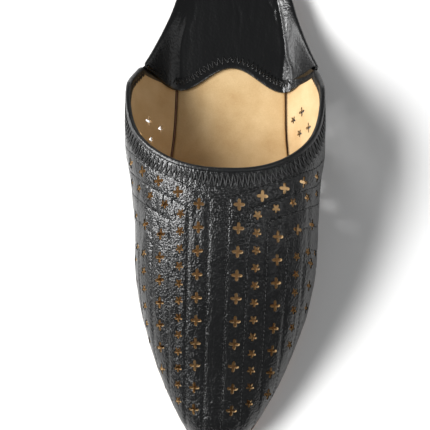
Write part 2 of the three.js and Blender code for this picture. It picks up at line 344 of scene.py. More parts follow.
def share_at(around, s):
    s = np.clip(s, ROWS[0], ROWS[-1])
    limit = np.where(around < 0, half_girth(s, -1), half_girth(s, 1))
    fraction = np.clip(around / np.maximum(limit, 1e-6), -1, 1)
    r = (s - ROWS[0]) / (ROWS[1] - ROWS[0])
    c = (fraction + 1) / (FRACTIONS[1] - FRACTIONS[0])
    r0 = np.clip(r.astype(int), 0, len(ROWS) - 2)
    c0 = np.clip(c.astype(int), 0, len(FRACTIONS) - 2)
    u, v = r - r0, c - c0
    low = SHARE_AT[r0, c0] * (1 - v) + SHARE_AT[r0, c0 + 1] * v
    high = SHARE_AT[r0 + 1, c0] * (1 - v) + SHARE_AT[r0 + 1, c0 + 1] * v
    return low * (1 - u) + high * u


def around_at(share, s):
    """The inverse: distance round the vamp for a share of its section."""
    row = np.clip(np.searchsorted(ROWS, s), 0, len(ROWS) - 1)
    return np.array([np.interp(q, SHARES, GIRTH[i]) for q, i in zip(share, row)])


def unit(vectors):
    return vectors / np.maximum(np.linalg.norm(vectors, axis=-1, keepdims=True), 1e-12)


def running(lengths):
    """How far along a path each of its points is, from the lengths of its steps."""
    return np.concatenate([[0], np.cumsum(lengths)])


def resampled(path, run, wanted):
    """Points of a path at wanted distances along it."""
    return np.stack([np.interp(wanted, run, column) for column in path.T], axis=1)


def vamp_point(around, s):
    across, height = section(s, share_at(around, s), 0)
    return place(s, across, height)


def vamp_normal(around, s):
    h = 0.4
    s_low, s_high = np.maximum(s - h, ROWS[0]), np.minimum(s + h, ROWS[-1])
    along = vamp_point(around, s_high) - vamp_point(around, s_low)
    aside = vamp_point(around + h, s) - vamp_point(around - h, s)
    return unit(np.cross(along, aside))


def diagonal(out, across, corner, side):
    """The station of a diagonal at each distance out from the pattern's middle, and how steep it
    is there. All of them keep their distance from one another as they bend down the side."""
    slope, bend = (BEND[name][0 if side < 0 else 1] for name in ("slope", "bend"))
    past = np.maximum(out - BEND_START, 0)
    steep = np.hypot(1, slope + 2 * bend * past)
    gap = corner + slope * across
    first = LINES["corner"][0] + slope * LINES["across"][0]
    return first - slope * out - bend * past**2 + (gap - first) * steep / math.hypot(1, slope), steep


def sewn_distance(around, s):
    """Distance from each place to the nearest sewn line of the pattern."""
    out = np.abs(around - PATTERN_MIDDLE)
    best = np.full(np.shape(around), 99.0)
    for across, corner in zip(LINES["across"], LINES["corner"]):
        straight = np.where(s >= corner, np.abs(out - across), 99.0)
        best = np.minimum(best, straight)
        for side in (-1, 1):
            station, steep = diagonal(out, across, corner, side)
            here = (out >= across) & ((around < PATTERN_MIDDLE) == (side < 0))
            best = np.minimum(best, np.where(here, np.abs(s - station) / steep, 99.0))
    return best


def creased(rows, x, y):
    """Total depth of a table of creases at places x, y."""
    depth = np.zeros(np.shape(x))
    for x0, y0, x1, y1, deep, wide in zip(*rows.values()):
        length = math.hypot(x1 - x0, y1 - y0)
        along = ((x - x0) * (x1 - x0) + (y - y0) * (y1 - y0)) / length
        bend = 0.9 * np.sin(along / length * 7.0 + x0)
        away = ((x - x0) * (y1 - y0) - (y - y0) * (x1 - x0)) / length + bend
        t = np.clip(along / length, 0, 1)
        past = along - t * length
        fade = np.sin(math.pi * np.clip(t, 0.04, 0.96)) ** 0.6
        depth += deep * fade * np.exp(-(away * away + past * past) / wide**2)
    return depth


def rough(x, y, z, scale):
    """Smooth noise from -1 to 1 at many places, with features about scale millimetres wide."""
    places = zip(np.ravel(x) / scale, np.ravel(y) / scale, np.ravel(np.broadcast_to(z, np.shape(x))))
    return np.array([noise.noise(Vector(p)) for p in places]).reshape(np.shape(x))


def vamp_relief(around, s):
    """How far the leather stands proud of the last, in millimetres."""
    away = sewn_distance(around, s)
    past_band = s - rim_station(share_at(around, s)) - ZIGZAG_START - ZIGZAG_HEIGHT
    bound = np.clip(1 - past_band / 1.5, 0, 1)
    away = away + 6 * bound
    sewn = -GROOVE_DEPTH * np.exp(-((away / GROOVE_WIDTH) ** 2))
    sewn = sewn - HOLLOW_DEPTH * np.exp(-((away / HOLLOW_WIDTH) ** 2))
    folds = 0.22 * rough(around, s / 5, 3.0, 3.6) + 0.14 * rough(around, s / 3, 8.0, 1.9)
    calm = np.exp(-(((around - PATTERN_MIDDLE) / CALM_WIDTH) ** 4))
    return sewn + (folds * (1 - 0.85 * calm) - creased(CREASES, around, s)) * (1 - 0.75 * bound)


# ------ meshes
def new_object(name, points, faces, finish_key, sharp):
    """A mesh object in the scene, smooth but for edges sharper than an angle in degrees."""
    mesh = bpy.data.meshes.new(name)
    mesh.from_pydata(np.asarray(points).tolist(), [], faces)
    if mesh.validate(clean_customdata=False):
        raise RuntimeError(f"{name}: its mesh has faces that can't be")
    mesh.materials.append(material(finish_key))
    mesh.shade_smooth()
    mesh.set_sharp_from_angle(angle=math.radians(sharp))
    made = bpy.data.objects.new(name, mesh)
    bpy.context.scene.collection.objects.link(made)
    return made


def hand_over(made, slot, *nodes):
    """Says what a finished piece rides on, its finish and the CAD nodes that it stands for."""
    if nodes:
        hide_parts(*nodes)
    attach(made, BODY)


def open_edges(triangles):
    """The border of a triangulation, as directed edges."""
    t = np.asarray(triangles)
    edges = np.concatenate([t[:, [0, 1]], t[:, [1, 2]], t[:, [2, 0]]])
    big = int(t.max()) + 1
    forward = edges[:, 0] * big + edges[:, 1]
    back = edges[:, 1] * big + edges[:, 0]
    return edges[~np.isin(forward, back)]


def thick_sheet(top, bottom, triangles):
    """A closed sheet between two surfaces with the same triangles: (points, faces)."""
    n = len(top)
    t = np.asarray(triangles)
    rim = open_edges(t)
    under = t[:, ::-1] + n
    walls = np.stack([rim[:, 1], rim[:, 0], rim[:, 0] + n, rim[:, 1] + n], axis=1)
    return np.concatenate([top, bottom]), t.tolist() + under.tolist() + walls.tolist()


def grid_triangles(rows, columns):
    """Triangles over a grid of rows by columns of points."""
    i, j = np.meshgrid(np.arange(rows - 1), np.arange(columns - 1), indexing="ij")
    a = i * columns + j
    quads = np.stack([a, a + 1, a + 1 + columns, a + columns], axis=-1).reshape(-1, 4)
    return np.concatenate([quads[:, [0, 1, 2]], quads[:, [0, 2, 3]]])


def ring_faces(rings, around, closed_path, caps=True):
    """Quads between closed rings of around points; the path closes on itself or gets end caps."""
    faces = []
    last = rings if closed_path else rings - 1
    for i in range(last):
        k = (i + 1) % rings
        for j in range(around):
            m = (j + 1) % around
            faces.append((i * around + j, i * around + m, k * around + m, k * around + j))
    if caps and not closed_path:
        faces.append(tuple(range(around))[::-1])
        faces.append(tuple((rings - 1) * around + j for j in range(around)))
    return faces


def swept(name, rings, closed_path, key, sharp, caps=True):
    """A piece swept through matching lines of points."""
    shape = np.stack(rings, axis=1)
    faces = ring_faces(*shape.shape[:2], closed_path, caps)
    return new_object(name, shape.reshape(-1, 3), faces, key, sharp)


def beads(name, centres, along, up, lengths, size, key, twist=0.0, sides=6, rings=5):
    """Many stitches as one mesh: each is a rounded bead along its own direction, and size is
    its width and height in millimetres."""
    along, up = unit(along), unit(up)
    side = unit(np.cross(up, along))
    up = np.cross(along, side)
    t = np.linspace(-1, 1, rings)[:, None]
    girth = np.sqrt(np.clip(1 - np.abs(t) ** 2.6, 0.03, 1))
    angle = np.linspace(0, 2 * math.pi, sides, endpoint=False)[None, :]
    ply = 1 + (0.16 if twist else 0) * np.cos(2 * (angle - twist * t))
    across = np.cos(angle) * girth * ply * size[0] / 2 * MM
    lift = np.sin(angle) * girth * ply * size[1] / 2 * MM
    lengths = np.broadcast_to(lengths, len(centres))[:, None, None, None] * MM
    shape = (
        centres[:, None, None, :]
        + along[:, None, None, :] * (t / 2)[None, :, :, None] * lengths
        + side[:, None, None, :] * across[None, :, :, None]
        + up[:, None, None, :] * lift[None, :, :, None]
    )
    one = ring_faces(rings, sides, False)
    faces = [tuple(i + k * rings * sides for i in f) for k in range(len(centres)) for f in one]
    return new_object(name, shape.reshape(-1, 3), faces, key, 80)


# ------ materials
def colour(hexadecimal):
    """An sRGB hex colour as linear red, green, blue and alpha."""
    channels = [int(hexadecimal[i : i + 2], 16) / 255 for i in (1, 3, 5)]
    return [c / 12.92 if c <= 0.04045 else ((c + 0.055) / 1.055) ** 2.4 for c in channels] + [1.0]


def per_mm(size):
    """A texture's scale for features of a real size in millimetres."""
    return 1 / (size * MM)


MIX_FIRST, MIX_SECOND, MIX_RESULT = 6, 7, 2  # a mix node's sockets for colours
WAVER_SHARE = 0.0016  # how far the pebbles of the grain are pushed about


def add(tree, kind, inputs, **settings):
    """Adds a node: inputs are values or the sockets that feed it, settings its own properties."""
    made = tree.nodes.new(kind)
    for name, value in settings.items():
        setattr(made, name, value)
    for name, value in inputs.items():
        if isinstance(value, bpy.types.NodeSocket):
            tree.links.new(value, made.inputs[name])
        else:
            made.inputs[name].default_value = value
    return made


def new_material(name):
    """A material to fill: itself, its node tree and the object's own coordinates."""
    made = bpy.data.materials.new(name)
    made.use_nodes = True
    tree = made.node_tree
    tree.nodes.clear()
    return made, tree, add(tree, "ShaderNodeTexCoord", {}).outputs["Object"]


def clouds(tree, at, size, detail, roughness=0.5, output="Fac"):
    """Noise with features of a size in millimetres."""
    inputs = {"Vector": at, "Scale": per_mm(size), "Detail": detail, "Roughness": roughness}
    return add(tree, "ShaderNodeTexNoise", inputs).outputs[output]


def moved_by(tree, at, kind, amounts):
    """Coordinates that are scaled or turned."""
    return add(tree, "ShaderNodeMapping", {"Vector": at, kind: amounts}).outputs["Vector"]


def blend(tree, factor, first, second):
    """A colour between two others."""
    inputs = {"Factor": factor, MIX_FIRST: first, MIX_SECOND: second}
    return add(tree, "ShaderNodeMix", inputs, data_type="RGBA").outputs[MIX_RESULT]


def weighed(tree, value, weight, other):
    """One value times a weight, plus another."""
    inputs = {0: value, 1: weight, 2: other}
    return add(tree, "ShaderNodeMath", inputs, operation="MULTIPLY_ADD").outputs[0]


def ranged(tree, value, side, low, high):
    """A value spread out "From" these limits to 0 and 1, or "To" them."""
    inputs = {"Value": value, f"{side} Min": low, f"{side} Max": high}
    return add(tree, "ShaderNodeMapRange", inputs).outputs["Result"]


def bumps(tree, height, strength, deep):
    """The normal of a surface with bumps up to deep millimetres."""
    inputs = {"Height": height, "Strength": strength, "Distance": deep * MM}
    return add(tree, "ShaderNodeBump", inputs).outputs["Normal"]


def finish(tree, tint, roughness, ior, **more):
    """The surface shader and the output."""
    inputs = {"Base Color": tint, "Roughness": roughness, "IOR": ior, **more}
    shader = add(tree, "ShaderNodeBsdfPrincipled", inputs)
    add(tree, "ShaderNodeOutputMaterial", {"Surface": shader.outputs["BSDF"]})


def glazed_goatskin(name, pebble, deep, shine):
    """Goatskin dyed black and glazed: pebbled, wrinkled grain under a clear hard finish, which
    gives small bright glints and a broad grey sheen on a near-black leather."""
    made, tree, at = new_material(name)
    waver = clouds(tree, at, 6, 2.0, output="Color")
    bent = blend(tree, WAVER_SHARE, (0, 0, 0, 1), waver)
    moved = add(tree, "ShaderNodeVectorMath", {0: at, 1: bent}, operation="ADD").outputs["Vector"]
    cells = {"Vector": moved, "Scale": per_mm(pebble), "Smoothness": 0.35}
    grain = add(tree, "ShaderNodeTexVoronoi", cells, feature="SMOOTH_F1").outputs["Distance"]
    wrinkle = clouds(tree, moved_by(tree, at, "Scale", (1.0, 0.32, 1.0)), 2.4, 4.0, 0.62)
    pores = clouds(tree, at, 0.45, 2.0)
    patch = clouds(tree, at, 28, 3.0)
    domed = add(tree, "ShaderNodeMath", {0: grain, 1: -0.85}, operation="MULTIPLY").outputs[0]
    height = weighed(tree, pores, 0.3, weighed(tree, wrinkle, 1.2, domed))
    tint = blend(tree, patch, colour("#040405"), colour("#0b0c0c"))
    worn = ranged(tree, patch, "To", shine, shine + 0.14)
    finish(tree, tint, worn, 1.55, Normal=bumps(tree, height, 1.0, deep))
    return made


def soft_leather(name, light, dark, size, deep, roughness):
    """Undyed leather with a fine nap or a cut fibre: matt, mottled and a little fibrous."""
    made, tree, at = new_material(name)
    cloud = clouds(tree, at, 14, 4.0)
    fibre = clouds(tree, at, size, 5.0, 0.65)
    spots = add(tree, "ShaderNodeTexVoronoi", {"Vector": at, "Scale": per_mm(size * 3.2)})
    share = ranged(tree, weighed(tree, fibre, 0.6, cloud), "From", 0.35, 1.15)
    tint = blend(tree, share, colour(dark), colour(light))
    pitted = weighed(tree, spots.outputs["Distance"], 0.5, fibre)
    worn = ranged(tree, cloud, "To", roughness - 0.08, roughness + 0.1)
    finish(tree, tint, worn, 1.45, Normal=bumps(tree, pitted, 0.8, deep))
    return made


def sole_leather(name, light, dark):
    """Vegetable-tanned sole leather, its edge cut and rubbed smooth: layers of fibre along the
    edge, a warm brown that is darker where it has been handled."""
    made, tree, at = new_material(name)
    layers = clouds(tree, moved_by(tree, at, "Scale", (0.12, 0.12, 1.0)), 0.7, 4.0)
    cloud = clouds(tree, at, 18, 5.0, 0.6)
    fibre = clouds(tree, at, 0.6, 4.0)
    share = ranged(tree, weighed(tree, layers, 0.6, cloud), "From", 0.5, 1.1)
    tint = blend(tree, share, colour(dark), colour(light))
    cut = weighed(tree, fibre, 0.5, layers)
    finish(tree, tint, 0.55, 1.48, Normal=bumps(tree, cut, 0.7, 0.25))
    return made


def waxed_thread(name, light, dark, ply, roughness):
    """Twisted thread drawn through wax: a slanting ply and a few soiled places."""
    made, tree, at = new_material(name)
    turned = moved_by(tree, at, "Rotation", (0.0, 0.0, math.radians(35)))
    wave = {"Vector": turned, "Scale": per_mm(ply) / 3, "Distortion": 1.2, "Detail": 2.0}
    twist = add(tree, "ShaderNodeTexWave", wave).outputs["Fac"]
    soil = clouds(tree, at, 3.5, 3.0)
    share = ranged(tree, weighed(tree, twist, 0.35, soil), "From", 0.35, 0.85)
    tint = blend(tree, share, colour(dark), colour(light))
    finish(tree, tint, roughness, 1.5, Normal=bumps(tree, twist, 0.6, 0.12))
    return made


def painted_floor(name, shade):
    """A smooth matt floor, pale and plain, with the faintest unevenness."""
    made, tree, at = new_material(name)
    tint = blend(tree, clouds(tree, at, 90, 2.0), colour(shade), colour("#ffffff"))
    finish(tree, tint, 0.8, 1.45)
    return made


MATERIALS = {
    "vamp": (glazed_goatskin, "glazed_goatskin_pebbled", 0.95, 0.24, 0.17),
    "back": (glazed_goatskin, "glazed_goatskin_smooth", 1.5, 0.1, 0.19),
    "binding": (glazed_goatskin, "glazed_goatskin_binding", 0.9, 0.15, 0.26),
    "lining": (soft_leather, "undyed_sheepskin_napped", "#d6bb91", "#b28d5a", 0.5, 0.12, 0.7),
    "insole": (soft_leather, "undyed_calf_smooth", "#d2b78a", "#b08c59", 0.8, 0.1, 0.6),
    "sole": (sole_leather, "vegetable_tanned_cut_edge", "#b98a6c", "#8a5c41"),
    "lift": (sole_leather, "vegetable_tanned_dark_layer", "#76503a", "#452c1e"),
    "cream": (waxed_thread, "waxed_cotton_twisted", "#ece2c8", "#b09a70", 0.55, 0.5),
    "black": (waxed_thread, "dyed_polyester_twisted", "#0c0c0c", "#040404", 0.3, 0.32),
}


def material(key):
    """One of the finishes, made the first time that it is asked for."""
    build, name, *looks = MATERIALS[key]
    return bpy.data.materials.get(name) or build(name, *looks)


# ------ the vamp
def punch_places():
    """Every punched hole as (round, station, points, radius, turn)."""
    found = []
    for across, first, pitch, count, step, rows, points, radius in zip(*HOLES.values()):
        for side in (-1, 1):
            row = [(across, first + pitch * i) for i in range(int(count))]
            out = np.arange(across, DIAGONAL_REACH, 0.5)
            station, _steep = diagonal(out, across, first, side)
            run = running(np.hypot(np.diff(out), np.diff(station)))
            wanted = step * np.arange(1, int(rows) + 1)
            row += zip(np.interp(wanted, run, out), np.interp(wanted, run, station))
            for out, s in row:
                around = PATTERN_MIDDLE + side * out
                turn = 0.12 * noise.noise(Vector((around, s, 1.0)))
                share = float(share_at(np.array([around]), np.array([s]))[0])
                clear_of_root = half_girth(s, side) - abs(around) > HOLE_ROOT_GAP
                clear_of_rim = s - rim_station(share) > ZIGZAG_START + ZIGZAG_HEIGHT + HOLE_RIM_GAP
                clear_of_rim &= s > HOLES_START[side]
                if clear_of_root and clear_of_rim and s < TIP - HOLE_TOE_GAP:
                    found.append((around, s, int(points), radius, turn))
    return found


def punch_outline(around, s, points, radius, turn, grow):
    """The punch's edge: as many rounded petals as it has points."""
    angle = np.linspace(0, 2 * math.pi, points * 8, endpoint=False)
    petal = np.abs(np.cos(points * angle / 2)) ** (1.5 if points == 4 else 1.3)
    waist = 0.36 if points == 4 else 0.46
    reach = radius * (waist + (1 - waist) * petal) + grow
    facing = angle + turn + math.pi / 2
    return np.stack([around + reach * np.cos(facing), s + reach * np.sin(facing)], axis=1)


def clear_of_punches(places, punches, gap):
    """Which places lay flat are farther than a gap from every punched hole."""
    clear = np.ones(len(places), bool)
    for around, s, _points, radius, _turn in punches:
        clear &= np.hypot(places[:, 0] - around, places[:, 1] - s) > radius + gap
    return clear


def vamp_border(spacing):
    """The vamp's edge laid out flat: the collar, the joints and the root, once round."""
    rim = np.linspace(-RIM_SHARE, RIM_SHARE, int(250 / spacing))
    drop = np.linspace(RIM_SHARE, 1, max(4, int(22 / spacing)))
    sweep = np.sin(np.linspace(0, math.pi / 2, int(240 / spacing)))
    root = JOINT + FIT / 2 + (TIP - JOINT - FIT / 2) * sweep
    share = np.concatenate([rim, drop[1:], np.ones(len(root) - 1), -np.ones(len(root) - 1), -drop[::-1][:-1]])
    station = np.concatenate(
        [rim_station(rim), rim_station(drop[1:]), root[1:], root[::-1][:-1], rim_station(drop[::-1][:-1])]
    )
    return np.stack([around_at(share, station), station], axis=1)[:-1]


def inside(places, border):
    """Which places lie inside a closed outline, by counting how often a line to it crosses."""
    x, y = places[:, 0], places[:, 1]
    crossed = np.zeros(len(places), bool)
    for (x0, y0), (x1, y1) in zip(border, np.roll(border, -1, axis=0)):
        if y0 == y1:
            continue
        spans = (y0 > y) != (y1 > y)
        crossed ^= spans & (x < (x1 - x0) * (y - y0) / (y1 - y0) + x0)
    return crossed


def vamp_triangles(spacing, grow, guides):
    """Triangulates the vamp laid out flat, with its holes cut out: (places, triangles)."""
    border = vamp_border(spacing)
    punches = punch_places()
    outlines = [punch_outline(*p, grow) for p in punches]
    rows = np.arange(JOINT, TIP, spacing * 0.866)
    columns = np.arange(-FIELD_HALF, FIELD_HALF, spacing)
    field = np.array([(x + spacing / 2 * (i % 2), y) for i, y in enumerate(rows) for x in columns])
    field += 0.12 * spacing * np.sin(field[:, ::-1] * 9.7)
    keep = inside(field, border)
    for edge in np.array_split(border, 40):
        near = np.hypot(*(field[keep][:, None, :] - edge[None]).transpose(2, 0, 1)).min(axis=1)
        keep[np.flatnonzero(keep)[near < spacing * 0.6]] = False
    keep &= clear_of_punches(field, punches, grow + spacing * 0.45)
    if guides:
        keep &= sewn_distance(field[:, 0], field[:, 1]) > 0.85
    parts = [border, *outlines, field[keep]]
    if guides:
        for line in sewn_paths(0.9):
            ahead = unit(np.gradient(line, axis=0))
            aside = np.stack([-ahead[:, 1], ahead[:, 0]], axis=1)
            for shift in (-0.55, 0, 0.55):
                row = line + shift * aside
                parts.append(row[inside(row, border) & clear_of_punches(row, punches, 0.4)])
    edges, start = [], 0
    for part in parts[: 1 + len(outlines)]:
        n = len(part)
        edges += [(start + i, start + (i + 1) % n) for i in range(n)]
        start += n
    flat = [Vector(p) for p in np.concatenate(parts).tolist()]
    places, _edges, faces, *_rest = delaunay_2d_cdt(flat, edges, [], 0, 1e-5)
    places = np.array([tuple(p) for p in places])
    faces = np.array(faces)
    centre = places[faces].mean(axis=1)
    good = inside(centre, border)
    for edge in outlines:
        low, high = edge.min(axis=0), edge.max(axis=0)
        close = np.flatnonzero(good & (centre > low).all(axis=1) & (centre < high).all(axis=1))
        good[close[inside(centre[close], edge)]] = False
    return places, faces[good]


def sewn_paths(step):
    """The sewn lines, each from the collar side down its diagonal, round its corner to the toe."""
    paths = []
    for across, corner in zip(LINES["across"], LINES["corner"]):
        for side in (-1, 1):
            out = np.linspace(DIAGONAL_REACH, across, 400)
            station, _steep = diagonal(out, across, corner, side)
            s = np.arange(corner, TIP - 4, step)
            out = np.concatenate([out, np.full(len(s), across)])
            bent = np.stack([PATTERN_MIDDLE + side * out, np.concatenate([station, s])], axis=1)
            run = running(np.hypot(*np.diff(bent, axis=0).T))
            wanted = np.arange(0, run[-1], step)
            path = resampled(bent, run, wanted)
            share = share_at(path[:, 0], path[:, 1])
            root = np.where(path[:, 0] < 0, half_girth(path[:, 1], -1), half_girth(path[:, 1], 1))
            below_rim = path[:, 1] - rim_station(share) > ZIGZAG_START + ZIGZAG_HEIGHT
            paths.append(path[(root - np.abs(path[:, 0]) > 2.0) & below_rim])
    return paths


def build_vamp(settings):
    """The dyed skin of the vamp with its holes, and the undyed core and lining under it."""
    fine = settings.vamp_spacing / MM
    places, faces = vamp_triangles(fine, 0.0, True)
    around, s = places[:, 0], places[:, 1]
    points, normals = vamp_point(around, s), vamp_normal(around, s)
    relief = vamp_relief(around, s)[:, None] * MM
    top = points + normals * relief
    bottom = points + normals * (relief - SKIN * MM)
    skin = new_object("vamp_leather", *thick_sheet(top, bottom, faces), "vamp", 50)
    hand_over(skin, "upper_leather", "upper_vamp")

    places, faces = vamp_triangles(fine * 1.7, -0.05, False)
    around, s = places[:, 0], places[:, 1]
    points, normals = vamp_point(around, s), vamp_normal(around, s)
    relief = np.minimum(vamp_relief(around, s), 0)[:, None] * MM * 0.6
    top = points + normals * (relief - (SKIN + LAMINA) * MM)
    bottom = points - normals * WALL * MM
    core = new_object("vamp_lining", *thick_sheet(top, bottom, faces), "lining", 50)
    hand_over(core, "lining_leather")


def rim_path(step, reach=RIM_SHARE):
    """Places along the collar's edge, evenly spaced, and the direction from it down the wall."""
    share = np.linspace(-reach, reach, 1200)
    s = rim_station(share)
    flat = np.stack([around_at(share, s), s], axis=1)
    points = vamp_point(flat[:, 0], flat[:, 1])
    run = running(np.linalg.norm(np.diff(points, axis=0), axis=1)) / MM
    wanted = np.linspace(0, run[-1], max(2, int(run[-1] / step)))
    flat = resampled(flat, run, wanted)
    ahead = unit(np.gradient(flat, axis=0))
    return flat, np.stack([-ahead[:, 1], ahead[:, 0]], axis=1)


def wall_point(flat, depth):
    """Points at a depth below the vamp's outside, for places laid out flat."""
    normal = vamp_normal(flat[:, 0], flat[:, 1])
    return vamp_point(flat[:, 0], flat[:, 1]) - normal * depth * MM, normal


# The binding's cross section: how far down the wall, and how deep from the wall's outside.
BINDING = table(
    "down depth",
    (1.9, -0.02),
    (1.7, -0.25),
    (1.0, -0.4),
    (0.2, -0.36),
    (-0.3, 0.0),
    (-0.5, 0.6),
    (-0.5, 1.4),
    (-0.3, 2.0),
    (0.2, 2.35),
    (1.2, 2.45),
    (2.2, 2.4),
    (2.6, 2.25),
    (2.6, 2.05),
    (1.9, 1.6),
    (1.1, 0.9),
)


def build_binding(settings):
    """A thin strip of leather turned over the collar's edge, with its wide side inside."""
    flat, down = rim_path(1.2, 0.995)
    lump = 1 + 0.06 * rough(flat[:, 0], flat[:, 1], 5.0, 2.5)
    rings = []
    for distance, depth in zip(BINDING["down"], BINDING["depth"]):
        shifted = flat + down * max(distance, 0)
        point, normal = wall_point(shifted, 0)
        before, _ = wall_point(flat, 0)
        beyond, _ = wall_point(flat + down * 0.8, 0)
        overhang = unit(before - beyond) * max(-distance, 0) * MM
        rings.append(point + overhang - normal * (1 + (depth - 1) * lump)[:, None] * MM)
    hand_over(swept("collar_binding", rings, False, "binding", 60), "upper_leather")


def zigzag(path, down, start, height):
    """The two ends of every leg of a zigzag along a path of places."""
    near = path + down * start
    far = path + down * (start + height)
    turns = np.where((np.arange(len(path)) % 2 == 0)[:, None], near, far)
    return turns[:-1], turns[1:]


def build_collar_stitching(settings):
    """Black zigzag round the collar: tall on the outside, its smaller teeth on the lining."""
    flat, down = rim_path(settings.zigzag_pitch / MM / 2)
    for name, start, height, depth, side in (
        ("collar_zigzag", ZIGZAG_START, ZIGZAG_HEIGHT, -0.3, 1),
        ("collar_zigzag_inside", 1.9, 3.6, WALL + 0.25, -1),
    ):
        first, second = zigzag(flat, down, start, height)
        a, normal = wall_point(first, depth)
        b, _ = wall_point(second, depth)
        lengths = np.linalg.norm(b - a, axis=1) / MM + 0.3
        made = beads(name, (a + b) / 2, b - a, normal * side, lengths, (0.95, 0.75), "black")
        hand_over(made, "black_thread")


def build_channel_stitching(settings):
    """The black thread of the pattern's sewn lines, sunk into its grooves."""
    step = settings.stitch_length / MM
    centres, along, ups = [], [], []
    punches = punch_places()
    for path in sewn_paths(0.25):
        run = running(np.hypot(*np.diff(path, axis=0).T))
        wanted = np.arange(step / 2, run[-1], step)
        flat = resampled(path, run, wanted)
        clear = clear_of_punches(flat, punches, 0.3)
        flat, ahead = flat[clear], resampled(path, run, wanted + 0.3)[clear]
        height = vamp_relief(flat[:, 0], flat[:, 1])
        point, normal = wall_point(flat, 0)
        onward, _ = wall_point(ahead, 0)
        centres.append(point + normal * (height + 0.1)[:, None] * MM)
        along.append(onward - point)
        ups.append(normal)
    centres, along, ups = (np.concatenate(part) for part in (centres, along, ups))
    made = beads("channel_stitches", centres, along, ups, step * 0.8, (0.6, 0.5), "black")
    hand_over(made, "black_thread")


# ------ the perimeter's pieces
WELT_INSET = 1.75  # the thick stitches: from the sole's edge, above the margin, and their slant
WELT_LIFT = 0.28
WELT_SLANT = 0.16


def eased(count):
    """Shares from 0 to 1, close together at both ends."""
    return (1 - np.cos(np.linspace(0, math.pi, count))) / 2


def perimeter(inset, count):
    """Stations and distances across, once round an outline moved in by inset."""
    t = eased(count)
    s = inset + t * (LENGTH - 2 * inset)
    half = outline(s, inset)
    return np.concatenate([s, s[::-1][1:-1]]), np.concatenate([half, -half[::-1][1:-1]])


def build_margin(settings):
    """The edge of the upper, turned out flat on the sole, where the thick thread holds it."""
    rise = MARGIN_THICKNESS
    profile = [
        (4.4, 0.0),
        (0.5, 0.0),
        (MARGIN_INSET, 0.3),
        (MARGIN_INSET, rise - 0.5),
        (0.45, rise - 0.1),
        (1.0, rise),
        (1.7, rise - 0.18),
        (2.3, rise - 0.12),
        (3.0, rise + 0.05),
        (4.4, rise + 0.25),
    ]
    rings = []
    for inset, height in profile:
        s, across = perimeter(inset, 220)
        rings.append(place(s, across, seat(s) + height))
    hand_over(swept("stitched_margin", rings, True, "vamp", 50), "upper_leather")


def build_welt_stitching(settings):
    """Thick waxed thread sewn by hand round the margin: long slanting beads, not quite even."""
    pitch = settings.welt_pitch / MM
    s, across = perimeter(WELT_INSET, 1500)
    points = place(s, across, seat(s) + MARGIN_THICKNESS)
    loop = np.concatenate([points, points[:1]])
    run = running(np.linalg.norm(np.diff(loop, axis=0), axis=1)) / MM
    count = int(run[-1] / pitch)
    wanted = (np.arange(count) + 0.5) * run[-1] / count
    level = np.zeros(count)
    wanted = wanted + 0.35 * rough(wanted, level, 2.0, 3.0)
    centres = resampled(loop, run, wanted)
    ahead = resampled(loop, run, (wanted + 0.5) % run[-1]) - centres
    up = np.tile([0.0, 0.0, 1.0], (count, 1))
    side = unit(np.cross(up, unit(ahead)))
    slant = WELT_SLANT + 0.1 * rough(wanted, level, 7.0, 4.0)
    along = unit(ahead) + side * slant[:, None]
    centres = centres + up * WELT_LIFT * MM
    lengths = (pitch * 0.86) * (1 + 0.07 * rough(wanted, level, 4.0, 3.7))
    made = beads("welt_stitches", centres, along, up, lengths, (2.0, 1.4), "cream", 1.9, 12, 11)
    hand_over(made, "welt_thread")


def solid_plate(name, inset, base, profile, count, key, relief=None):
    """A flat piece that follows the sole: profile is its edge, from the underside to the top."""
    t = eased(count)

    def line(step, height, share, lift=None):
        s = inset + step + t * (LENGTH - 2 * (inset + step))
        across = outline(s, inset + step) * share
        return place(s, across, base(s) + height + (lift(s, across) if lift else 0))

    edge = [line(step, height, 1) for step, height in profile]
    other = [line(step, height, -1) for step, height in profile[::-1]]
    step, height = profile[-1]
    top = [line(step, height, share, relief) for share in np.linspace(0.96, -0.96, 33)]
    step, height = profile[0]
    under = [line(step, height, share) for share in np.linspace(-0.9, 0.9, 9)]
    return swept(name, edge + top + other + under, False, key, 45, caps=False)


def build_outsole(settings):
    """The sole leather: a cut edge rubbed round and slightly uneven."""
    profile = [(0.9, 0.0), (0.3, 0.12), (0.0, 0.6), (-0.05, 1.7), (0.0, 2.8), (0.25, 3.25), (0.8, 3.4)]
    made = solid_plate("outsole_leather", 0.0, sole_rise, profile, 200, "sole")
    hand_over(made, "sole_leather", "outsole")


def build_insole(settings):
    """The insole, its cut edge turned down a little into the gap along the lining."""

    def relief(s, across):
        return 0.15 * rough(s, across, 1.0, 16.0)

    profile = [(0.3, 0.0), (0.0, 0.3), (0.0, 0.9), (0.25, 1.3), (0.8, 1.52), (1.6, 1.6)]
    inset = ROOT_INSET + WALL + FIT
    made = solid_plate("insole_leather", inset, seat, profile, 160, "insole", relief)
    hand_over(made, "insole_leather", "insole")


def build_heel_lift(settings):
    """One more layer of sole leather under the heel, darker, cut straight across in front."""
    s = LIFT_INSET + (1 - np.cos(np.linspace(0, math.pi / 2, 70))) * (LIFT_FRONT - LIFT_INSET)
    half = outline(s, LIFT_INSET)
    heights = [(0.5, 0.0), (0.0, 0.4), (0.0, 2.7), (0.2, 3.2)]
    right = [place(s, np.maximum(half - inset, 0.1), height) for inset, height in heights]
    left = [place(s, -np.maximum(half - inset, 0.1), height) for inset, height in heights[::-1]]
    made = swept("heel_lift_leather", right + left, False, "lift", 35)
    hand_over(made, "lift_leather", "heel_lift")


